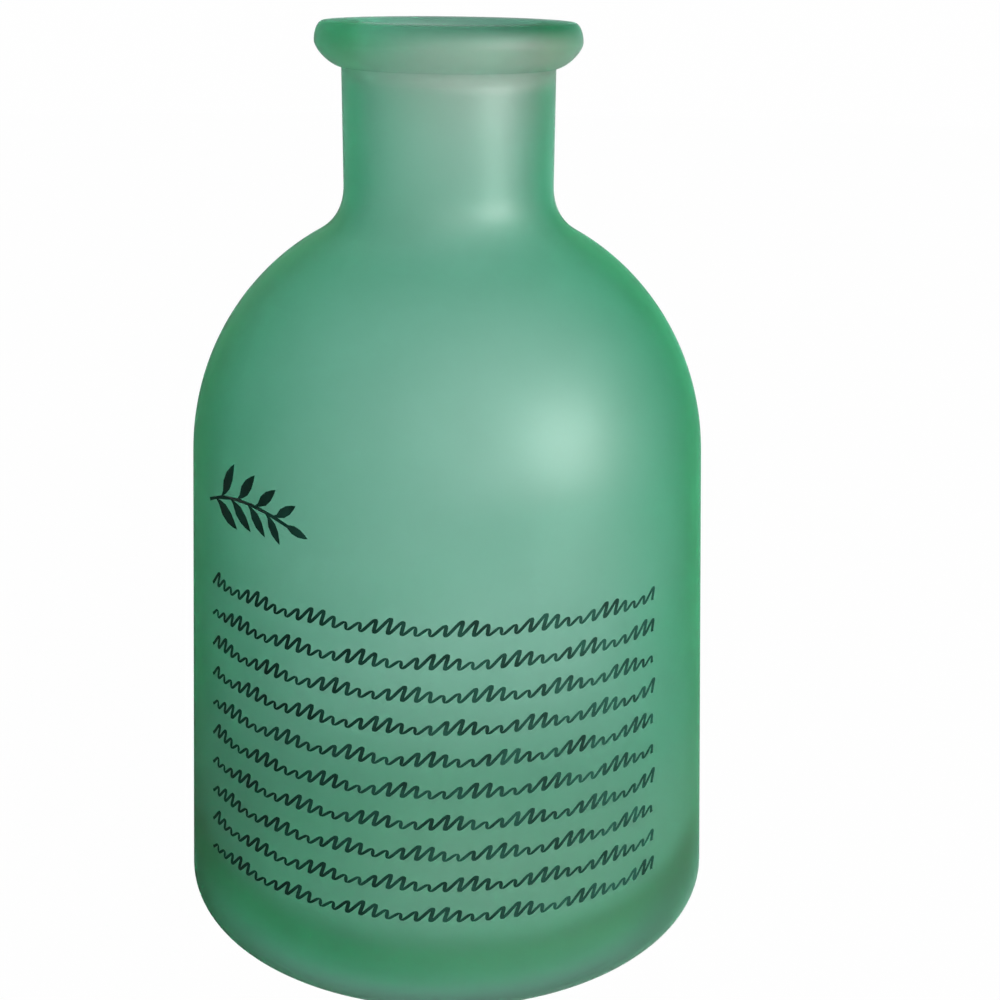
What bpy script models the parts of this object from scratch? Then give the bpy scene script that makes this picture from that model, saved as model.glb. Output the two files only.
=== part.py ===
"""A frosted glass bottle vase with a printed band of running waves and a leaf sprig.

The vessel is one turned piece of glass. The print is a deposit of dark ink on its front: ten rows of running
waves, each one unbroken line, and a sprig above their left end. Metres, +Z up, the base at Z = 0 and the
vessel's axis on Z. The print faces -Y.
"""

import math
import operator

import bmesh
import bpy
import numpy
from mathutils import Vector

COLLECTION_NAME = "sea_glass_vase"

# Vessel: the outside, from the foot up
FOOT_RADIUS = 0.0502
HEEL_ROUND = 0.0052
BODY_RADIUS = 0.0462
BODY_HEIGHT = 0.0871
SHOULDER_WIDTH = 0.0432
SHOULDER_RISE = 0.0454
NECK_RADIUS = 0.0183
NECK_LENGTH = 0.0259
NECK_FLARE = 0.0050
LIP_RADIUS = 0.0228
LIP_UNDERSIDE = 0.0042
LIP_CORNER_HEIGHT = 0.0033
LIP_CORNER_WIDTH = 0.0017
MOUTH_ROUND = 0.0013

# Vessel: the glass's thickness and the kicked-up base
WALL = 0.0036
BASE_THICKNESS = 0.0062
INNER_HEEL_ROUND = 0.0120
FOOT_RING_WIDTH = 0.0054
KICK_HEIGHT = 0.0040

# Vessel: how finely it is turned
TURN_STEPS = 48
SHOULDER_STEPS = 10
FLARE_STEPS = 4
HEEL_STEPS = 5
LIP_STEPS = 4
KICK_STEPS = 4
ELLIPSE_POWER = 2.0
LIP_UNDERSIDE_POWER = 1.5
WELD_DISTANCE = 0.000001

# Print: the ink and how it lies on the glass
INK_THICKNESS = 0.00025
INK_CLEARANCE = 0.0003

# Print: the rows of running waves
ROW_COUNT = 10
TOP_ROW_HEIGHT = 0.0715
ROW_PITCH = 0.0057
ROW_LENGTH = 0.0862
ROW_CENTRE_TURN = math.radians(-3.5)
WAVE_LENGTH = 0.00225
WAVE_HEIGHT = 0.0019
WAVE_LEAN_SHARE = 0.6
SWELL_SHARE = 0.4
WAVES_IN_SWELL = 5.5
ROW_SWELL_SHIFT = 0.37
WAVE_STEPS = 6
THIN_STROKE = 0.00020
THICK_STROKE = 0.00050

# Print: the sprig above the rows' left end
SPRIG_ABOVE_ROWS = 0.0143
SPRIG_CENTRE_TURN = math.radians(-46)
STEM_LENGTH = 0.0212
STEM_RISE = 0.0010
STEM_BOW = 0.0021
STEM_WIDTH = 0.0006
LEAF_LENGTH = 0.0082
LEAF_WIDTH = 0.0026
LEAF_TURN = math.radians(48)
LEAF_PLACE_SHARES = (
    (0.14, 1),
    (0.24, -1),
    (0.38, 1),
    (0.48, -1),
    (0.61, 1),
    (0.70, -1),
    (0.82, 1),
    (0.90, -1),
)
LEAF_SHRINK_SHARE = 0.4
LEAF_EDGE_SHARES = ((0.14, 0.36), (0.38, 0.96), (0.64, 0.92), (0.86, 0.46))

# Colours, as linear red, green, blue and alpha
GLASS_COLOUR = (0.10, 0.42, 0.27, 1.0)
INK_COLOUR = (0.006, 0.020, 0.014, 1.0)

# Surfaces
GLASS_ROUGHNESS = 0.45
GLASS_TRANSMISSION = 0.6
INK_ROUGHNESS = 0.5


def clear_scene():
    """Removes what the scene holds, and the meshes and curves that are left without an object."""
    for thing in list(bpy.data.objects):
        bpy.data.objects.remove(thing, do_unlink=True)
    for kept in (bpy.data.meshes, bpy.data.curves, bpy.data.materials):
        for block in list(kept):
            kept.remove(block)


def make_collection():
    """The collection that holds the vase's pieces."""
    collection = bpy.data.collections.new(COLLECTION_NAME)
    bpy.context.scene.collection.children.link(collection)
    return collection


def make_material(name, colour, roughness, transmission=0.0):
    """A plain Principled material."""
    material = bpy.data.materials.new(name)
    material.use_nodes = True
    shader = material.node_tree.nodes["Principled BSDF"]
    shader.inputs["Base Color"].default_value = colour
    shader.inputs["Roughness"].default_value = roughness
    shader.inputs["Metallic"].default_value = 0.0
    shader.inputs["Transmission Weight"].default_value = transmission
    material.diffuse_color = colour
    return material


def oval_arc(centre, across, up, start, end, steps, power=ELLIPSE_POWER):
    """Points (radius, height) along an oval about centre, from one angle to another. A power below an
    ellipse's gives an oval with flatter sides."""
    points = []
    for step in range(steps + 1):
        angle = start + (end - start) * step / steps
        cosine = math.cos(angle)
        sine = math.sin(angle)
        radius = centre[0] + across * math.copysign(abs(cosine) ** (2 / power), cosine)
        height = centre[1] + up * math.copysign(abs(sine) ** (2 / power), sine)
        points.append((radius, height))
    return points


def bent_corner(start, corner, end, steps):
    """Points along a curve that leaves start towards corner and comes in to end from corner."""
    points = []
    for step in range(steps + 1):
        share = step / steps
        far = 1 - share
        pulls = (far * far, 2 * far * share, share * share)
        points.append(tuple(sum(map(operator.mul, pulls, place)) for place in zip(start, corner, end)))
    return points


def body_taper():
    """How much the body widens towards the foot, per length of its height."""
    return (FOOT_RADIUS - BODY_RADIUS) / (BODY_HEIGHT - HEEL_ROUND)


def shoulder_centre():
    """The centre (radius, height) of the shoulder's oval, inside and outside alike."""
    return BODY_RADIUS - SHOULDER_WIDTH, BODY_HEIGHT


def neck_foot_height():
    """The height at which the neck's straight side, carried on down, meets the shoulder's oval."""
    centre = shoulder_centre()
    cosine = (NECK_RADIUS - centre[0]) / SHOULDER_WIDTH
    return centre[1] + SHOULDER_RISE * math.sqrt(1 - cosine * cosine)


def lip_foot_height():
    """The height at which the lip's underside meets the neck."""
    return neck_foot_height() + NECK_LENGTH


def overall_height():
    """The height of the lip's flat top."""
    return lip_foot_height() + LIP_UNDERSIDE + LIP_CORNER_HEIGHT


def outer_radius(height):
    """The radius of the vessel's outside at a height between its foot and its neck."""
    rising = (neck_to_body(0) + heel(FOOT_RADIUS, 0, HEEL_ROUND))[::-1]
    return numpy.interp(height, [level for _, level in rising], [radius for radius, _ in rising])


def neck_to_body(inset):
    """Points down the neck's flare, the shoulder and the start of the body, inset below the outside."""
    centre = shoulder_centre()
    across = SHOULDER_WIDTH - inset
    up = SHOULDER_RISE - inset
    neck = NECK_RADIUS - inset
    start = math.acos((neck + NECK_FLARE + inset - centre[0]) / across)
    end = math.atan(body_taper() * up / across)
    arc = oval_arc(centre, across, up, start, end, SHOULDER_STEPS)
    rise_per_radius = up * math.cos(start) / (across * math.sin(start))
    corner = (neck, arc[0][1] + (arc[0][0] - neck) * rise_per_radius)
    reach = math.dist(corner, arc[0])
    flare = bent_corner((neck, corner[1] + reach), corner, arc[0], FLARE_STEPS)
    return flare + arc[1:]


def heel(radius, bottom, rounding):
    """Points round the corner between the body and its bottom."""
    start = math.atan(body_taper())
    centre = (radius - rounding, bottom + rounding)
    return oval_arc(centre, rounding, rounding, start, -math.pi / 2, HEEL_STEPS)


def dome(radius, bottom):
    """Points from the middle of the kicked-up base almost out to radius, where it is level at bottom."""
    points = []
    for step in range(KICK_STEPS):
        share = step / KICK_STEPS
        points.append((radius * share, bottom + KICK_HEIGHT * (1 + math.cos(math.pi * share)) / 2))
    return points


def lip():
    """Points from the bore's top edge over the lip and down to the neck."""
    top = overall_height()
    bore = NECK_RADIUS - WALL
    widest = top - LIP_CORNER_HEIGHT
    mouth = oval_arc(
        (bore + MOUTH_ROUND, top - MOUTH_ROUND), MOUTH_ROUND, MOUTH_ROUND, math.pi, math.pi / 2, LIP_STEPS
    )
    corner = oval_arc(
        (LIP_RADIUS - LIP_CORNER_WIDTH, widest),
        LIP_CORNER_WIDTH,
        LIP_CORNER_HEIGHT,
        math.pi / 2,
        0,
        LIP_STEPS,
    )
    underside = oval_arc(
        (NECK_RADIUS, widest),
        LIP_RADIUS - NECK_RADIUS,
        LIP_UNDERSIDE,
        0,
        -math.pi / 2,
        LIP_STEPS + 1,
        LIP_UNDERSIDE_POWER,
    )
    return mouth + corner + underside[1:]


def vessel_profile():
    """The glass's whole section, from the middle of the floor up inside, over the lip, down outside and in
    under the base to the middle."""
    inner_foot = FOOT_RADIUS - WALL
    ring_inner_edge = FOOT_RADIUS - HEEL_ROUND - FOOT_RING_WIDTH
    inside = dome(inner_foot - INNER_HEEL_ROUND, BASE_THICKNESS)
    inside += reversed(heel(inner_foot, BASE_THICKNESS, INNER_HEEL_ROUND))
    inside += reversed(neck_to_body(WALL))
    outside = neck_to_body(0)
    outside += heel(FOOT_RADIUS, 0, HEEL_ROUND)
    outside.append((ring_inner_edge, 0))
    outside += reversed(dome(ring_inner_edge, 0))
    return inside + lip() + outside


def turn(name, profile, material, collection):
    """A solid turned about Z from a profile of (radius, height) points."""
    mesh = bpy.data.meshes.new(name)
    outline = bmesh.new()
    corners = [outline.verts.new((radius, 0, height)) for radius, height in profile]
    for first, second in zip(corners, corners[1:]):
        outline.edges.new((first, second))
    outline.to_mesh(mesh)
    outline.free()
    piece = bpy.data.objects.new(name, mesh)
    collection.objects.link(piece)
    screw = piece.modifiers.new("turned", "SCREW")
    screw.axis = "Z"
    screw.steps = TURN_STEPS
    screw.render_steps = TURN_STEPS
    screw.use_merge_vertices = True
    screw.merge_threshold = WELD_DISTANCE
    screw.use_smooth_shade = True
    mesh.materials.append(material)
    return piece


def flat_sheet(outline):
    """A mesh of a flat outline of (along, up) points, as thick as the ink."""
    curve = bpy.data.curves.new("ink_outline", "CURVE")
    curve.dimensions = "2D"
    curve.fill_mode = "BOTH"
    curve.extrude = INK_THICKNESS / 2
    spline = curve.splines.new("POLY")
    spline.points.add(len(outline) - 1)
    for point, (along, up) in zip(spline.points, outline):
        point.co = (along, up, 0, 1)
    spline.use_cyclic_u = True
    holder = bpy.data.objects.new("ink_outline", curve)
    mesh = bpy.data.meshes.new_from_object(holder)
    bpy.data.objects.remove(holder)
    bpy.data.curves.remove(curve)
    return mesh


def lay_on_glass(mesh, turn_angle, height):
    """Bends a flat sheet round the vessel, centred at an angle from the front and at a height."""
    sheet = bmesh.new()
    sheet.from_mesh(mesh)
    bmesh.ops.remove_doubles(sheet, verts=sheet.verts, dist=WELD_DISTANCE)
    for vertex in sheet.verts:
        level = height + vertex.co.y
        angle = turn_angle + vertex.co.x / BODY_RADIUS
        radius = outer_radius(level) + INK_CLEARANCE + INK_THICKNESS / 2 + vertex.co.z
        vertex.co = Vector((radius * math.sin(angle), -radius * math.cos(angle), level))
    sheet.to_mesh(mesh)
    sheet.free()


def ink_piece(name, outline, turn_angle, height, material, collection):
    """One unbroken piece of printed ink on the front of the vessel."""
    mesh = flat_sheet(outline)
    mesh.name = name
    lay_on_glass(mesh, turn_angle, height)
    mesh.materials.clear()
    mesh.materials.append(material)
    piece = bpy.data.objects.new(name, mesh)
    collection.objects.link(piece)
    return piece


def wave_line(row):
    """Points (along, up) of one row of running waves, which lean to the right and rise and sink in swells."""
    waves = max(round(ROW_LENGTH / WAVE_LENGTH), 1)
    steps = waves * WAVE_STEPS
    first_turn = 2 * math.pi * ROW_SWELL_SHIFT * row
    points = []
    for step in range(steps + 1):
        turned = 2 * math.pi * step / WAVE_STEPS
        swell = 1 + SWELL_SHARE * math.cos(turned / WAVES_IN_SWELL + first_turn)
        up = WAVE_HEIGHT * ((1 - math.cos(turned)) * swell - 1) / 2
        points.append((ROW_LENGTH * (step / steps - 1 / 2) + WAVE_LEAN_SHARE * up, up))
    return points


def pen_stroke(line):
    """The outline of a pen line that is thin where the line is level and thick where it is steep."""
    upper = []
    lower = []
    for number, (along, up) in enumerate(line):
        before = Vector(line[max(number - 1, 0)])
        after = Vector(line[min(number + 1, len(line) - 1)])
        way = (after - before).normalized()
        half = (THIN_STROKE + (THICK_STROKE - THIN_STROKE) * abs(way.y)) / 2
        upper.append((along - way.y * half, up + way.x * half))
        lower.append((along + way.y * half, up - way.x * half))
    return upper + lower[::-1]


def stem_point(share):
    """The sprig's stem at a share of its length: its place and its direction."""
    bow = STEM_BOW * 4 * share * (1 - share)
    place = Vector((STEM_LENGTH * (share - 1 / 2), STEM_RISE * (share - 1 / 2) + bow))
    way = Vector((STEM_LENGTH, STEM_RISE + STEM_BOW * 4 * (1 - 2 * share)))
    return place, way.normalized()


def leaf_outline(base, way, length, width):
    """Points from one side of a leaf's base, round its tip and back to the other side."""
    across = Vector((way.y, -way.x))
    near = [base + way * length * along + across * width / 2 * out for along, out in LEAF_EDGE_SHARES]
    far = [base + way * length * along - across * width / 2 * out for along, out in LEAF_EDGE_SHARES]
    return near + [base + way * length] + far[::-1]


def turned_way(way, angle):
    """A direction turned anticlockwise by an angle."""
    cosine = math.cos(angle)
    sine = math.sin(angle)
    return Vector((way.x * cosine - way.y * sine, way.x * sine + way.y * cosine))


def sprig_side(side):
    """Points along one side of the stem, from its foot to its tip, round each leaf on that side. side is 1
    for the right of the stem's direction and -1 for its left."""
    points = []
    for share, leaf_side in ((0, side),) + LEAF_PLACE_SHARES:
        if leaf_side != side:
            continue
        place, way = stem_point(share)
        edge = Vector((way.y, -way.x)) * side * STEM_WIDTH / 2
        if share == 0:
            points.append(place + edge)
            continue
        shrink = 1 - LEAF_SHRINK_SHARE * share
        leaf_way = turned_way(way, -side * LEAF_TURN)
        leaf = leaf_outline(place, leaf_way, LEAF_LENGTH * shrink, LEAF_WIDTH * shrink)
        if side < 0:
            leaf = leaf[::-1]
        neck = way * STEM_WIDTH / 2
        points += [place + edge - neck] + leaf + [place + edge + neck]
    return points


def sprig_outline():
    """The outline of the whole sprig: up the right side, round the last leaf and down the left side."""
    tip, way = stem_point(1)
    shrink = 1 - LEAF_SHRINK_SHARE
    last_leaf = leaf_outline(tip, way, LEAF_LENGTH * shrink, LEAF_WIDTH * shrink)
    points = sprig_side(1) + last_leaf + sprig_side(-1)[::-1]
    return [tuple(point) for point in points]


def build_vase():
    """Makes the whole vase."""
    clear_scene()
    collection = make_collection()
    glass = make_material("frosted_green_glass", GLASS_COLOUR, GLASS_ROUGHNESS, GLASS_TRANSMISSION)
    ink = make_material("dark_green_ink", INK_COLOUR, INK_ROUGHNESS)
    turn("glass_vessel", vessel_profile(), glass, collection)
    for row in range(ROW_COUNT):
        name = f"print_wave_row_{row + 1:02d}"
        row_height = TOP_ROW_HEIGHT - ROW_PITCH * row
        ink_piece(name, pen_stroke(wave_line(row)), ROW_CENTRE_TURN, row_height, ink, collection)
    sprig_height = TOP_ROW_HEIGHT + SPRIG_ABOVE_ROWS
    ink_piece("print_sprig", sprig_outline(), SPRIG_CENTRE_TURN, sprig_height, ink, collection)


build_vase()
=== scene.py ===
"""The sea glass bottle vase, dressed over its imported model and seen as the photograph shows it.

The vessel is turned again from the model's own sizes, finely enough for smooth glass, and the print is
drawn as thin ink on its outside. Metres, +Z up, the print towards -Y.
"""

import math
import operator

import bmesh
import bpy
import numpy
from mathutils import Matrix, Vector


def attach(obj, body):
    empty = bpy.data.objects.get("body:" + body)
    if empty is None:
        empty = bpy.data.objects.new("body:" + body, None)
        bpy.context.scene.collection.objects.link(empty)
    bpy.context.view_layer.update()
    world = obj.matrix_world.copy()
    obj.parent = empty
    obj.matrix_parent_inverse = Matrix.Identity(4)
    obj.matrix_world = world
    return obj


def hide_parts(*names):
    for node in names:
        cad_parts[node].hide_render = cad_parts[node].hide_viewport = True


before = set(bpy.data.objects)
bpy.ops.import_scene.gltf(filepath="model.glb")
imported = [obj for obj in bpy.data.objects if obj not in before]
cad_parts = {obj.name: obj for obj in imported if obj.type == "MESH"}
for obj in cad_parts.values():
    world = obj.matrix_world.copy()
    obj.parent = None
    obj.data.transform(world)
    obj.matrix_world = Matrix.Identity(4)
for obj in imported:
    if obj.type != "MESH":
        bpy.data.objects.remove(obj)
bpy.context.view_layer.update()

# Vessel: the outside, from the foot up
FOOT_RADIUS = 0.0502
HEEL_ROUND = 0.0052
BODY_RADIUS = 0.0462
BODY_HEIGHT = 0.0871
SHOULDER_WIDTH = 0.0432
SHOULDER_RISE = 0.0454
NECK_RADIUS = 0.0183
NECK_LENGTH = 0.0259
NECK_FLARE = 0.0050
LIP_RADIUS = 0.0228
LIP_UNDERSIDE = 0.0042
LIP_CORNER_HEIGHT = 0.0033
LIP_CORNER_WIDTH = 0.0017
MOUTH_ROUND = 0.0013

# Vessel: the glass's thickness and the kicked-up base
WALL = 0.0036
BASE_THICKNESS = 0.0062
INNER_HEEL_ROUND = 0.0120
FOOT_RING_WIDTH = 0.0054
KICK_HEIGHT = 0.0040

# Vessel: how finely it is turned
TURN_STEPS = 160
SHOULDER_STEPS = 40
BODY_STEPS = 24
NECK_STEPS = 8
FLARE_STEPS = 12
HEEL_STEPS = 14
LIP_STEPS = 12
KICK_STEPS = 16
RING_STEPS = 3
ELLIPSE_POWER = 2.0
LIP_UNDERSIDE_POWER = 1.5
WELD_DISTANCE = 0.000001

# Print: the ink and how it lies on the glass
INK_THICKNESS = 0.00004
INK_CLEARANCE = 0.00002

# Print: the rows of running waves
ROW_COUNT = 10
TOP_ROW_HEIGHT = 0.0715
ROW_PITCH = 0.0057
ROW_LENGTH = 0.0862
ROW_CENTRE_TURN = math.radians(-3.5)
WAVE_LENGTH = 0.00225
WAVE_HEIGHT = 0.0019
WAVE_LEAN_SHARE = 0.6
SWELL_SHARE = 0.4
WAVES_IN_SWELL = 5.5
ROW_SWELL_SHIFT = 0.37
WAVE_STEPS = 16
THIN_STROKE = 0.00028
THICK_STROKE = 0.00066

# Print: the sprig above the rows' left end
SPRIG_ABOVE_ROWS = 0.0143
SPRIG_CENTRE_TURN = math.radians(-46)
STEM_LENGTH = 0.0212
STEM_RISE = 0.0010
STEM_BOW = 0.0021
STEM_WIDTH = 0.0006
LEAF_LENGTH = 0.0082
LEAF_WIDTH = 0.0026
LEAF_TURN = math.radians(48)
LEAF_PLACE_SHARES = (
    (0.14, 1),
    (0.24, -1),
    (0.38, 1),
    (0.48, -1),
    (0.61, 1),
    (0.70, -1),
    (0.82, 1),
    (0.90, -1),
)
LEAF_SHRINK_SHARE = 0.4
LEAF_EDGE_SHARES = ((0.14, 0.36), (0.38, 0.96), (0.64, 0.92), (0.86, 0.46))

# Camera
CAMERA_BACK = 0.280
CAMERA_RIGHT = 0.00961
CAMERA_HEIGHT = 0.1737
CAMERA_DOWN_TURN = 0.33077
CAMERA_ROLL = 0.01249
SENSOR_WIDTH = 0.036
FOCAL_LENGTH = 0.057208
CLIP_START_SHARE = 0.01
MILLIMETRES = 1000

# Stage: the floor, and the pools of glow on it as (centre behind the vase, near, far, level)
FLOOR_RADIUS = 1.6
FLOOR_COLOUR = (0.50, 0.50, 0.50, 1.0)
FLOOR_WHITE_SHARE = 0.99
FOOT_POOL = (0.0, 0.0375, 0.0485, 0.33)
NEAR_POOL = (0.11, 0.03, 0.08, 0.57)
FAR_POOL = (0.45, 0.10, 0.30, 0.88)
FRONT_POOL = (-0.18, 0.05, 0.12, 1.0)

# Stage: the studio's glow and its softbox
FRONT_GLOW = 2.7
FRONT_GLOW_SPREAD = 3.0
FRONT_GLOW_TURN = math.radians(41)
BACK_GLOW = 0.71
BACK_GLOW_SPREAD = 3.0
BACK_GLOW_TURN = math.radians(194)
GLOW_RISE = math.radians(10)
GLOW_THROUGH_GLASS = 1.0
BACKDROP_WHITE = 0.995
SOFTBOX_SIZE = 0.42
SOFTBOX_DISTANCE = 0.80
SOFTBOX_TURN = math.radians(55)
SOFTBOX_RISE = math.radians(12)
SOFTBOX_POWER = 4.3

# Glass: its body and the clouds and grain of its etched skin
GLASS_BENDING = 1.2
GLASS_TRANSMISSION = 1.0
GLASS_TINT = (0.32, 0.885, 0.71, 1.0)
GLASS_TINT_DENSITY = 200.0
COAT_ROUGHNESS = 0.42
COAT_BENDING = 2.0
SKIN_CLEAR_COLOUR = (0.97, 0.97, 0.97, 1.0)
SKIN_CLOUDED_COLOUR = (0.92, 0.93, 0.925, 1.0)
SKIN_MOTTLE_SIZE = 0.007
SKIN_ROUGHNESS_LOW = 0.74
SKIN_ROUGHNESS_HIGH = 0.86
SKIN_PATCH_SIZE = 0.020
SKIN_GRAIN_SIZE = 0.00035
SKIN_GRAIN_DEPTH = 0.00002
SKIN_GRAIN_STRENGTH = 0.15

# Glass: what its skin passes on, which is painted shade that greys the neck and lip and darkens the lip's
# top edge, how much it scatters and how much its coat shines, by height
PAINTED_SHADE_BY_HEIGHT = (
    (0.1250, (1.00, 1.00, 1.00)),
    (0.1437, (1.00, 0.96, 0.96)),
    (0.1520, (1.00, 0.91, 0.91)),
    (0.1580, (1.00, 0.87, 0.89)),
    (0.1605, (1.00, 0.88, 0.90)),
    (0.1618, (0.80, 0.76, 0.76)),
    (0.1628, (0.72, 0.72, 0.72)),
)
# Across which the painted shade on the neck and lip fades out towards their left side
LIP_SHADED_FROM = -0.018
LIP_SHADED_TO = -0.002
SCATTER_BY_HEIGHT = (
    (0.0000, 0.01),
    (0.0120, 0.03),
    (0.0300, 0.03),
    (0.0450, 0.00),
    (0.1360, 0.00),
    (0.1440, 0.02),
    (0.1520, 0.05),
    (0.1550, 0.22),
    (0.1570, 0.26),
    (0.1590, 0.18),
    (0.1605, 0.11),
    (0.1615, 0.08),
    (0.1625, 0.00),
)
COAT_BY_HEIGHT = ((0.1540, 0.36), (0.1570, 0.12))

# Glass: the slow waves of its blown inside
INSIDE_WAVE_DEPTH = 0.00025
INSIDE_WAVES_ROUND = (3, 7)
INSIDE_WAVE_HEIGHTS = (0.045, 0.021)

# Ink
INK_FULL_COLOUR = (0.005, 0.030, 0.020, 1.0)
INK_WORN_COLOUR = (0.014, 0.072, 0.050, 1.0)
INK_PATCH_SIZE = 0.004
INK_ROUGHNESS_LOW = 0.5
INK_ROUGHNESS_HIGH = 0.75
INK_SHINE = 0.12

# Noise: the values between which most of it lies
NOISE_LOW = 0.3
NOISE_HIGH = 0.7


def oval_arc(centre, across, up, start, end, steps, power=ELLIPSE_POWER):
    """Points (radius, height) along an oval about centre, from one angle to another. power is 2 for an
    ellipse, and less for an oval with flatter sides."""
    points = []
    for step in range(steps + 1):
        angle = start + (end - start) * step / steps
        cosine = math.cos(angle)
        sine = math.sin(angle)
        radius = centre[0] + across * math.copysign(abs(cosine) ** (2 / power), cosine)
        height = centre[1] + up * math.copysign(abs(sine) ** (2 / power), sine)
        points.append((radius, height))
    return points


def bent_corner(start, corner, end, steps):
    """Points along a curve that leaves start towards corner and comes in to end from corner."""
    points = []
    for step in range(steps + 1):
        share = step / steps
        far = 1 - share
        pulls = (far * far, 2 * far * share, share * share)
        points.append(tuple(sum(map(operator.mul, pulls, place)) for place in zip(start, corner, end)))
    return points


def straight(start, end, steps):
    """Points between start and end, both left out."""
    return [tuple(a + (b - a) * step / steps for a, b in zip(start, end)) for step in range(1, steps)]


def body_taper():
    """How much the body widens towards the foot, per length of its height."""
    return (FOOT_RADIUS - BODY_RADIUS) / (BODY_HEIGHT - HEEL_ROUND)


def shoulder_centre():
    """The centre (radius, height) of the shoulder's oval, inside and outside alike."""
    return BODY_RADIUS - SHOULDER_WIDTH, BODY_HEIGHT


def neck_foot_height():
    """The height at which the neck's straight side, carried on down, meets the shoulder's oval."""
    centre = shoulder_centre()
    cosine = (NECK_RADIUS - centre[0]) / SHOULDER_WIDTH
    return centre[1] + SHOULDER_RISE * math.sqrt(1 - cosine * cosine)


def overall_height():
    """The height of the lip's flat top."""
    return neck_foot_height() + NECK_LENGTH + LIP_UNDERSIDE + LIP_CORNER_HEIGHT


def outer_radius(height):
    """The radius of the vessel's outside at a height between its foot and its neck."""
    rising = (neck_to_body(0) + heel(FOOT_RADIUS, 0, HEEL_ROUND))[::-1]
    return numpy.interp(height, [level for _, level in rising], [radius for radius, _ in rising])


def neck_to_body(inset):
    """Points down the neck's flare, the shoulder and the start of the body, inset below the outside."""
    centre = shoulder_centre()
    across = SHOULDER_WIDTH - inset
    up = SHOULDER_RISE - inset
    neck = NECK_RADIUS - inset
    start = math.acos((neck + NECK_FLARE + inset - centre[0]) / across)
    end = math.atan(body_taper() * up / across)
    arc = oval_arc(centre, across, up, start, end, SHOULDER_STEPS)
    rise_per_radius = up * math.cos(start) / (across * math.sin(start))
    corner = (neck, arc[0][1] + (arc[0][0] - neck) * rise_per_radius)
    reach = math.dist(corner, arc[0])
    flare = bent_corner((neck, corner[1] + reach), corner, arc[0], FLARE_STEPS)
    return flare + arc[1:]


def heel(radius, bottom, rounding):
    """Points round the corner between the body and its bottom."""
    start = math.atan(body_taper())
    centre = (radius - rounding, bottom + rounding)
    return oval_arc(centre, rounding, rounding, start, -math.pi / 2, HEEL_STEPS)


def dome(radius, bottom):
    """Points from the middle of the kicked-up base out to radius, where it is level at bottom."""
    points = []
    for step in range(KICK_STEPS + 1):
        share = step / KICK_STEPS
        points.append((radius * share, bottom + KICK_HEIGHT * (1 + math.cos(math.pi * share)) / 2))
    return points


def lip():
    """Points from the bore's top edge over the lip and down to the neck."""
    top = overall_height()
    bore = NECK_RADIUS - WALL
    widest = top - LIP_CORNER_HEIGHT
    mouth = oval_arc(
        (bore + MOUTH_ROUND, top - MOUTH_ROUND), MOUTH_ROUND, MOUTH_ROUND, math.pi, math.pi / 2, LIP_STEPS
    )
    corner = oval_arc(
        (LIP_RADIUS - LIP_CORNER_WIDTH, widest),
        LIP_CORNER_WIDTH,
        LIP_CORNER_HEIGHT,
        math.pi / 2,
        0,
        LIP_STEPS,
    )
    underside = oval_arc(
        (NECK_RADIUS, widest),
        LIP_RADIUS - NECK_RADIUS,
        LIP_UNDERSIDE,
        0,
        -math.pi / 2,
        LIP_STEPS,
        LIP_UNDERSIDE_POWER,
    )
    return mouth + straight(mouth[-1], corner[0], RING_STEPS) + corner + underside[1:]


def joined(*runs):
    """Runs of points as one line, with a run of points between each two ends that lie apart."""
    line = list(runs[0])
    for run, steps in runs[1:]:
        if steps:
            line += straight(line[-1], run[0], steps)
        line += run
    return line


def vessel_profile():
    """The glass's whole section, from the middle of the floor up inside, over the lip, down outside and in
    under the base to the middle."""
    inner_foot = FOOT_RADIUS - WALL
    ring_inner_edge = FOOT_RADIUS - HEEL_ROUND - FOOT_RING_WIDTH
    return joined(
        dome(inner_foot - INNER_HEEL_ROUND, BASE_THICKNESS)[:-1],
        (heel(inner_foot, BASE_THICKNESS, INNER_HEEL_ROUND)[::-1], 0),
        (neck_to_body(WALL)[::-1], BODY_STEPS),
        (lip(), NECK_STEPS),
        (neck_to_body(0), NECK_STEPS),
        (heel(FOOT_RADIUS, 0, HEEL_ROUND), BODY_STEPS),
        (dome(ring_inner_edge, 0)[::-1], RING_STEPS),
    )


def turn(name, profile):
    """A closed smooth mesh turned about Z from a profile of (radius, height) points."""
    shape = bmesh.new()
    corners = [shape.verts.new((radius, 0, height)) for radius, height in profile]
    edges = [shape.edges.new(pair) for pair in zip(corners, corners[1:])]
    bmesh.ops.spin(
        shape,
        geom=corners + edges,
        cent=(0, 0, 0),
        axis=(0, 0, 1),
        angle=2 * math.pi,
        steps=TURN_STEPS,
        use_merge=True,
    )
    bmesh.ops.remove_doubles(shape, verts=shape.verts, dist=WELD_DISTANCE)
    bmesh.ops.recalc_face_normals(shape, faces=shape.faces)
    mesh = bpy.data.meshes.new(name)
    shape.to_mesh(mesh)
    shape.free()
    mesh.shade_smooth()
    piece = bpy.data.objects.new(name, mesh)
    bpy.context.scene.collection.objects.link(piece)
    return piece


def flat_sheet(outline):
    """A mesh of a flat outline of (along, up) points, as thick as the ink."""
    curve = bpy.data.curves.new("ink_outline", "CURVE")
    curve.dimensions = "2D"
    curve.fill_mode = "BOTH"
    curve.extrude = INK_THICKNESS / 2
    spline = curve.splines.new("POLY")
    spline.points.add(len(outline) - 1)
    for point, (along, up) in zip(spline.points, outline):
        point.co = (along, up, 0, 1)
    spline.use_cyclic_u = True
    holder = bpy.data.objects.new("ink_outline", curve)
    mesh = bpy.data.meshes.new_from_object(holder)
    bpy.data.objects.remove(holder)
    bpy.data.curves.remove(curve)
    return mesh


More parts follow.
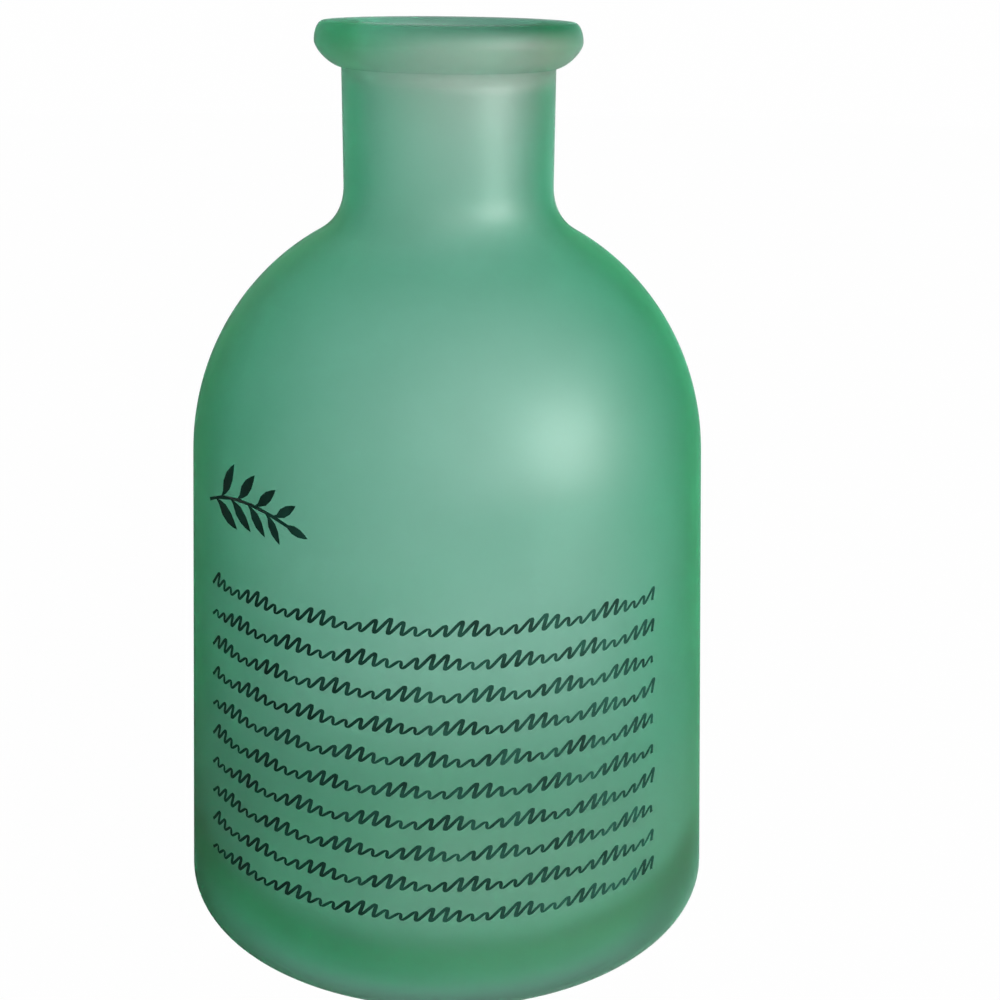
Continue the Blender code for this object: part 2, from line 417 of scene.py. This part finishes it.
def strip(upper, lower):
    """A mesh of the strip between two lines of (along, up) points, as thick as the ink."""
    half = INK_THICKNESS / 2
    shape = bmesh.new()
    rings = []
    for above, below in zip(upper, lower):
        corners = ((*above, half), (*below, half), (*below, -half), (*above, -half))
        rings.append([shape.verts.new(corner) for corner in corners])
    for ring, following in zip(rings, rings[1:]):
        for side in range(len(ring)):
            other = side - 1
            shape.faces.new((ring[other], ring[side], following[side], following[other]))
    shape.faces.new(rings[0])
    shape.faces.new(rings[-1])
    bmesh.ops.recalc_face_normals(shape, faces=shape.faces)
    mesh = bpy.data.meshes.new("ink_strip")
    shape.to_mesh(mesh)
    shape.free()
    return mesh


def lay_on_glass(mesh, turn_angle, height):
    """Bends a flat sheet round the vessel, centred at an angle from the front and at a height."""
    sheet = bmesh.new()
    sheet.from_mesh(mesh)
    bmesh.ops.remove_doubles(sheet, verts=sheet.verts, dist=WELD_DISTANCE)
    for vertex in sheet.verts:
        level = height + vertex.co.y
        angle = turn_angle + vertex.co.x / BODY_RADIUS
        radius = outer_radius(level) + INK_CLEARANCE + INK_THICKNESS / 2 + vertex.co.z
        vertex.co = Vector((radius * math.sin(angle), -radius * math.cos(angle), level))
    sheet.to_mesh(mesh)
    sheet.free()


def ink_piece(name, mesh, turn_angle, height, material, node):
    """One unbroken piece of printed ink on the front of the vessel, from a flat mesh of it, in place of its
    CAD node."""
    mesh.name = name
    lay_on_glass(mesh, turn_angle, height)
    mesh.materials.clear()
    mesh.materials.append(material)
    piece = bpy.data.objects.new(name, mesh)
    bpy.context.scene.collection.objects.link(piece)
    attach(piece, "root")
    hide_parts(node)
    return piece


def wave_line(row):
    """Points (along, up) of one row of running waves, which lean to the right and rise and sink in
    swells."""
    waves = max(round(ROW_LENGTH / WAVE_LENGTH), 1)
    steps = waves * WAVE_STEPS
    first_turn = 2 * math.pi * ROW_SWELL_SHIFT * row
    points = []
    for step in range(steps + 1):
        turned = 2 * math.pi * step / WAVE_STEPS
        swell = 1 + SWELL_SHARE * math.cos(turned / WAVES_IN_SWELL + first_turn)
        up = WAVE_HEIGHT * ((1 - math.cos(turned)) * swell - 1) / 2
        points.append((ROW_LENGTH * (step / steps - 1 / 2) + WAVE_LEAN_SHARE * up, up))
    return points


def pen_stroke(line):
    """The upper and the lower side of a pen line, thin where it is level and thick where it is steep."""
    reach = WAVE_STEPS // 4
    upper = []
    lower = []
    for number, (along, up) in enumerate(line):
        before = Vector(line[max(number - reach, 0)])
        after = Vector(line[min(number + reach, len(line) - 1)])
        way = (after - before).normalized()
        half = (THIN_STROKE + (THICK_STROKE - THIN_STROKE) * abs(way.y)) / 2
        upper.append((along - way.y * half, up + way.x * half))
        lower.append((along + way.y * half, up - way.x * half))
    return upper, lower


def stem_point(share):
    """The sprig's stem at a share of its length: its place and its direction."""
    bow = STEM_BOW * 4 * share * (1 - share)
    place = Vector((STEM_LENGTH * (share - 1 / 2), STEM_RISE * (share - 1 / 2) + bow))
    way = Vector((STEM_LENGTH, STEM_RISE + STEM_BOW * 4 * (1 - 2 * share)))
    return place, way.normalized()


def leaf_outline(base, way, length, width):
    """Points from one side of a leaf's base, round its tip and back to the other side."""
    across = Vector((way.y, -way.x))
    near = [base + way * length * along + across * width / 2 * out for along, out in LEAF_EDGE_SHARES]
    far = [base + way * length * along - across * width / 2 * out for along, out in LEAF_EDGE_SHARES]
    return near + [base + way * length] + far[::-1]


def turned_way(way, angle):
    """A direction turned anticlockwise by an angle."""
    cosine = math.cos(angle)
    sine = math.sin(angle)
    return Vector((way.x * cosine - way.y * sine, way.x * sine + way.y * cosine))


def sprig_side(side):
    """Points along one side of the stem, from its foot to its tip, round each leaf on that side. side is 1
    for the right of the stem's direction and -1 for its left."""
    points = []
    for share, leaf_side in ((0, side),) + LEAF_PLACE_SHARES:
        if leaf_side != side:
            continue
        place, way = stem_point(share)
        edge = Vector((way.y, -way.x)) * side * STEM_WIDTH / 2
        if share == 0:
            points.append(place + edge)
            continue
        shrink = 1 - LEAF_SHRINK_SHARE * share
        leaf_way = turned_way(way, -side * LEAF_TURN)
        leaf = leaf_outline(place, leaf_way, LEAF_LENGTH * shrink, LEAF_WIDTH * shrink)
        if side < 0:
            leaf = leaf[::-1]
        neck = way * STEM_WIDTH / 2
        points += [place + edge - neck] + leaf + [place + edge + neck]
    return points


def sprig_outline():
    """The outline of the whole sprig: up the right side, round the last leaf and down the left side."""
    tip, way = stem_point(1)
    shrink = 1 - LEAF_SHRINK_SHARE
    last_leaf = leaf_outline(tip, way, LEAF_LENGTH * shrink, LEAF_WIDTH * shrink)
    points = sprig_side(1) + last_leaf + sprig_side(-1)[::-1]
    return [tuple(point) for point in points]


def new_material(name):
    """An empty node material, its tree and its output."""
    material = bpy.data.materials.new(name)
    material.use_nodes = True
    tree = material.node_tree
    tree.nodes.clear()
    output = tree.nodes.new("ShaderNodeOutputMaterial")
    return material, tree, output


def given(tree, socket, value):
    """Gives a socket its value, which is another socket or a plain value."""
    if isinstance(value, bpy.types.NodeSocket):
        tree.links.new(value, socket)
    else:
        socket.default_value = value


def figured(tree, operation, *values):
    """A socket with the result of an operation on sockets or plain values."""
    node = tree.nodes.new("ShaderNodeMath")
    node.operation = operation
    for value, socket in zip(values, node.inputs):
        given(tree, socket, value)
    return node.outputs["Value"]


def ranged(tree, value, low, high, at_low, at_high):
    """A socket that goes softly from one value to another while the given socket goes from low to high."""
    span = tree.nodes.new("ShaderNodeMapRange")
    span.interpolation_type = "SMOOTHSTEP"
    span.inputs["From Min"].default_value = low
    span.inputs["From Max"].default_value = high
    span.inputs["To Min"].default_value = at_low
    span.inputs["To Max"].default_value = at_high
    tree.links.new(value, span.inputs["Value"])
    return span.outputs["Result"]


def patches(tree, size):
    """A noise socket whose patches are about as large as size."""
    place = tree.nodes.new("ShaderNodeTexCoord")
    noise = tree.nodes.new("ShaderNodeTexNoise")
    noise.inputs["Scale"].default_value = 1 / size
    tree.links.new(place.outputs["Object"], noise.inputs["Vector"])
    return noise.outputs["Fac"]


def place_on_piece(tree, axis):
    """A socket with the place along an axis: X to the right, Y to the back and Z above the foot."""
    place = tree.nodes.new("ShaderNodeTexCoord")
    split = tree.nodes.new("ShaderNodeSeparateXYZ")
    tree.links.new(place.outputs["Object"], split.inputs["Vector"])
    return split.outputs[axis]


def by_height(tree, table):
    """A socket that follows a table of (height, colour or level) from the foot to the lip."""
    ramp = tree.nodes.new("ShaderNodeValToRGB")
    stops = ramp.color_ramp.elements
    while len(stops) < len(table):
        stops.new(0)
    for stop, (height, value) in zip(stops, table):
        stop.position = height / overall_height()
        stop.color = (*value, 1) if isinstance(value, tuple) else (value, value, value, 1)
    share = figured(tree, "DIVIDE", place_on_piece(tree, "Z"), overall_height())
    tree.links.new(share, ramp.inputs["Fac"])
    return ramp.outputs["Color"]


def blended(tree, share, first, second, blend="MIX"):
    """A colour socket that goes from the first colour to the second, or to their product where blend is
    MULTIPLY, as share goes from 0 to 1."""
    mix = tree.nodes.new("ShaderNodeMix")
    mix.data_type = "RGBA"
    mix.blend_type = blend
    sockets = {socket.identifier: socket for socket in mix.inputs}
    given(tree, sockets["A_Color"], first)
    given(tree, sockets["B_Color"], second)
    given(tree, sockets["Factor_Float"], share)
    return {socket.identifier: socket for socket in mix.outputs}["Result_Color"]


def grain(tree, size, depth, strength):
    """A normal socket with a fine grain in it."""
    bump = tree.nodes.new("ShaderNodeBump")
    bump.inputs["Strength"].default_value = strength
    bump.inputs["Distance"].default_value = depth
    tree.links.new(patches(tree, size), bump.inputs["Height"])
    return bump.outputs["Normal"]


def glass_material():
    """Sea-green glass, tinted by its depth. Its etched skin is clouded and rougher in soft patches, and at
    the lip it catches more light. Painted shade greys the neck and lip and darkens the lip's top edge, less
    on the left."""
    material, tree, output = new_material("frosted_sea_glass")
    shader = tree.nodes.new("ShaderNodeBsdfPrincipled")
    mottle = ranged(tree, patches(tree, SKIN_MOTTLE_SIZE), NOISE_LOW, NOISE_HIGH, 0, 1)
    clouds = blended(tree, mottle, SKIN_CLEAR_COLOUR, SKIN_CLOUDED_COLOUR)
    # Painted shade on the neck and lip, from the table by height, kept off their left side
    shaded_side = ranged(tree, place_on_piece(tree, "X"), LIP_SHADED_FROM, LIP_SHADED_TO, 0, 1)
    clouds_and_painted_shade = blended(tree, shaded_side, clouds, by_height(tree, PAINTED_SHADE_BY_HEIGHT), "MULTIPLY")
    roughness = ranged(
        tree,
        patches(tree, SKIN_PATCH_SIZE),
        NOISE_LOW,
        NOISE_HIGH,
        SKIN_ROUGHNESS_LOW,
        SKIN_ROUGHNESS_HIGH,
    )
    surface = grain(tree, SKIN_GRAIN_SIZE, SKIN_GRAIN_DEPTH, SKIN_GRAIN_STRENGTH)
    shader.inputs["IOR"].default_value = GLASS_BENDING
    shader.inputs["Transmission Weight"].default_value = GLASS_TRANSMISSION
    shader.inputs["Coat Roughness"].default_value = COAT_ROUGHNESS
    shader.inputs["Coat IOR"].default_value = COAT_BENDING
    tree.links.new(clouds_and_painted_shade, shader.inputs["Base Color"])
    tree.links.new(roughness, shader.inputs["Roughness"])
    tree.links.new(by_height(tree, SCATTER_BY_HEIGHT), shader.inputs["Metallic"])
    tree.links.new(by_height(tree, COAT_BY_HEIGHT), shader.inputs["Coat Weight"])
    tree.links.new(surface, shader.inputs["Normal"])
    tint = tree.nodes.new("ShaderNodeVolumeAbsorption")
    tint.inputs["Color"].default_value = GLASS_TINT
    tint.inputs["Density"].default_value = GLASS_TINT_DENSITY
    tree.links.new(shader.outputs["BSDF"], output.inputs["Surface"])
    tree.links.new(tint.outputs["Volume"], output.inputs["Volume"])
    return material


def ink_material():
    """Dark green fired-on ink, a little thinner in places."""
    material, tree, output = new_material("dark_green_ink")
    shader = tree.nodes.new("ShaderNodeBsdfPrincipled")
    wear = ranged(tree, patches(tree, INK_PATCH_SIZE), NOISE_LOW, NOISE_HIGH, 0, 1)
    colour = blended(tree, wear, INK_FULL_COLOUR, INK_WORN_COLOUR)
    roughness = ranged(tree, wear, 0, 1, INK_ROUGHNESS_LOW, INK_ROUGHNESS_HIGH)
    shader.inputs["Specular IOR Level"].default_value = INK_SHINE
    tree.links.new(colour, shader.inputs["Base Color"])
    tree.links.new(roughness, shader.inputs["Roughness"])
    tree.links.new(shader.outputs["BSDF"], output.inputs["Surface"])
    return material


def wave_inside(mesh):
    """Gives the inside of the turned vessel slow waves, which only ever thicken the wall, and which fade
    out at the floor and at the neck."""
    low = BASE_THICKNESS + INNER_HEEL_ROUND
    high = neck_foot_height()
    for vertex in mesh.vertices:
        place = vertex.co
        radius = math.hypot(place.x, place.y)
        if not low < place.z < high or radius > outer_radius(place.z) - WALL / 2:
            continue
        turned = math.atan2(place.x, place.y)
        fade = math.sin(math.pi * (place.z - low) / (high - low))
        swell = 1
        for waves, wave_height in zip(INSIDE_WAVES_ROUND, INSIDE_WAVE_HEIGHTS):
            swell += math.sin(waves * turned + 2 * math.pi * place.z / wave_height) / 2
        inward = 1 - INSIDE_WAVE_DEPTH * fade * swell / radius
        place.x *= inward
        place.y *= inward


def build_vessel():
    """The glass vessel, in place of its CAD node."""
    piece = turn("sea_glass_vessel", vessel_profile())
    wave_inside(piece.data)
    piece.data.materials.append(glass_material())
    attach(piece, "root")
    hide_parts("glass_vessel")


def build_print():
    """The rows of waves and the sprig, in place of their CAD nodes."""
    ink = ink_material()
    for row in range(ROW_COUNT):
        name = f"ink_wave_row_{row + 1:02d}"
        node = f"print_wave_row_{row + 1:02d}"
        row_height = TOP_ROW_HEIGHT - ROW_PITCH * row
        row_mesh = strip(*pen_stroke(wave_line(row)))
        ink_piece(name, row_mesh, ROW_CENTRE_TURN, row_height, ink, node)
    sprig_height = TOP_ROW_HEIGHT + SPRIG_ABOVE_ROWS
    sprig_mesh = flat_sheet(sprig_outline())
    ink_piece("ink_sprig", sprig_mesh, SPRIG_CENTRE_TURN, sprig_height, ink, "print_sprig")


def build_camera():
    """The camera at the photograph's viewing angle."""
    data = bpy.data.cameras.new("camera")
    data.sensor_width = SENSOR_WIDTH * MILLIMETRES
    data.lens = FOCAL_LENGTH * MILLIMETRES
    camera = bpy.data.objects.new("camera", data)
    bpy.context.scene.collection.objects.link(camera)
    turn_down = Matrix.Rotation(math.pi / 2 - CAMERA_DOWN_TURN, 4, "X")
    roll = Matrix.Rotation(CAMERA_ROLL, 4, "Z")
    place = Matrix.Translation((CAMERA_RIGHT, -CAMERA_BACK, CAMERA_HEIGHT))
    camera.matrix_world = place @ turn_down @ roll
    data.clip_start = CAMERA_BACK * CLIP_START_SHARE
    data.clip_end = CAMERA_BACK / CLIP_START_SHARE
    bpy.context.scene.camera = camera


def pool(tree, behind, near, far, level):
    """A socket with a soft round pool on the floor, centred so far behind the vase: level up to near from
    the centre, and nothing past far."""
    place = tree.nodes.new("ShaderNodeTexCoord")
    distance = tree.nodes.new("ShaderNodeVectorMath")
    distance.operation = "DISTANCE"
    distance.inputs[1].default_value = (0, behind, 0)
    tree.links.new(place.outputs["Object"], distance.inputs[0])
    return ranged(tree, distance.outputs["Value"], near, far, level, 0)


def floor_material():
    """A pale floor that the camera sees as almost white, less the vase's soft shadow. In the glass it glows
    in soft pools under the foot, behind the vase and in front of it."""
    material, tree, output = new_material("pale_floor")
    matt = tree.nodes.new("ShaderNodeBsdfDiffuse")
    matt.inputs["Color"].default_value = FLOOR_COLOUR
    white = tree.nodes.new("ShaderNodeEmission")
    path = tree.nodes.new("ShaderNodeLightPath").outputs
    in_glass = figured(tree, "MAXIMUM", path["Is Glossy Ray"], path["Is Transmission Ray"])
    pools = pool(tree, *FOOT_POOL)
    for other in (NEAR_POOL, FAR_POOL, FRONT_POOL):
        pools = figured(tree, "MAXIMUM", pools, pool(tree, *other))
    glow_share = figured(tree, "MULTIPLY", in_glass, pools)
    share = figured(tree, "MULTIPLY_ADD", path["Is Camera Ray"], FLOOR_WHITE_SHARE, glow_share)
    mix = tree.nodes.new("ShaderNodeMixShader")
    tree.links.new(share, mix.inputs["Fac"])
    tree.links.new(matt.outputs["BSDF"], mix.inputs[1])
    tree.links.new(white.outputs["Emission"], mix.inputs[2])
    tree.links.new(mix.outputs["Shader"], output.inputs["Surface"])
    return material


def build_floor():
    """The plain pale floor that the vase stands on."""
    shape = bmesh.new()
    bmesh.ops.create_circle(shape, cap_ends=True, radius=FLOOR_RADIUS, segments=TURN_STEPS)
    mesh = bpy.data.meshes.new("floor")
    shape.to_mesh(mesh)
    shape.free()
    mesh.materials.append(floor_material())
    floor = bpy.data.objects.new("floor", mesh)
    bpy.context.scene.collection.objects.link(floor)


def facing(turn_angle, rise):
    """The direction at an angle round from the front and at a rise above the level."""
    return Vector(
        (math.sin(turn_angle) * math.cos(rise), -math.cos(turn_angle) * math.cos(rise), math.sin(rise))
    )


def glow(tree, turn_angle, rise, strength, spread):
    """A socket with the strength of a soft glow that is brightest in one direction of the studio. The
    higher the spread, the closer it keeps to that direction."""
    place = tree.nodes.new("ShaderNodeTexCoord")
    towards = tree.nodes.new("ShaderNodeVectorMath")
    towards.operation = "DOT_PRODUCT"
    towards.inputs[1].default_value = facing(turn_angle, rise)
    tree.links.new(place.outputs["Generated"], towards.inputs[0])
    ahead = figured(tree, "MAXIMUM", towards.outputs["Value"], 0)
    return figured(tree, "MULTIPLY", figured(tree, "POWER", ahead, spread), strength)


def build_world():
    """A studio that glows softly behind the vase and to the front right, but never past a set level through
    the glass, and is white to the camera."""
    world = bpy.data.worlds.new("studio")
    world.use_nodes = True
    bpy.context.scene.world = world
    tree = world.node_tree
    tree.nodes.clear()
    output = tree.nodes.new("ShaderNodeOutputWorld")
    light = tree.nodes.new("ShaderNodeBackground")
    white = tree.nodes.new("ShaderNodeBackground")
    light.inputs["Color"].default_value = (1.0, 1.0, 1.0, 1.0)
    white.inputs["Color"].default_value = (1.0, 1.0, 1.0, 1.0)
    white.inputs["Strength"].default_value = BACKDROP_WHITE
    path = tree.nodes.new("ShaderNodeLightPath")
    mix = tree.nodes.new("ShaderNodeMixShader")
    front = glow(tree, FRONT_GLOW_TURN, GLOW_RISE, FRONT_GLOW, FRONT_GLOW_SPREAD)
    back = glow(tree, BACK_GLOW_TURN, GLOW_RISE, BACK_GLOW, BACK_GLOW_SPREAD)
    both = figured(tree, "ADD", front, back)
    capped = figured(tree, "MINIMUM", both, GLOW_THROUGH_GLASS)
    excess = figured(tree, "SUBTRACT", both, capped)
    past_glass = figured(tree, "SUBTRACT", 1, path.outputs["Is Transmission Ray"])
    tree.links.new(figured(tree, "MULTIPLY_ADD", excess, past_glass, capped), light.inputs["Strength"])
    tree.links.new(path.outputs["Is Camera Ray"], mix.inputs["Fac"])
    tree.links.new(light.outputs["Background"], mix.inputs[1])
    tree.links.new(white.outputs["Background"], mix.inputs[2])
    tree.links.new(mix.outputs["Shader"], output.inputs["Surface"])


def build_softbox():
    """One square softbox to the right of the camera, facing the middle of the vase."""
    data = bpy.data.lights.new("softbox", "AREA")
    data.size = SOFTBOX_SIZE
    data.energy = SOFTBOX_POWER
    lamp = bpy.data.objects.new("softbox", data)
    bpy.context.scene.collection.objects.link(lamp)
    way = facing(SOFTBOX_TURN, SOFTBOX_RISE)
    lamp.location = Vector((0, 0, BODY_HEIGHT)) + way * SOFTBOX_DISTANCE
    lamp.rotation_mode = "QUATERNION"
    lamp.rotation_quaternion = way.to_track_quat("Z", "Y")


bpy.context.scene.view_settings.view_transform = "Standard"
build_camera()
build_vessel()
build_print()
build_floor()
build_world()
build_softbox()
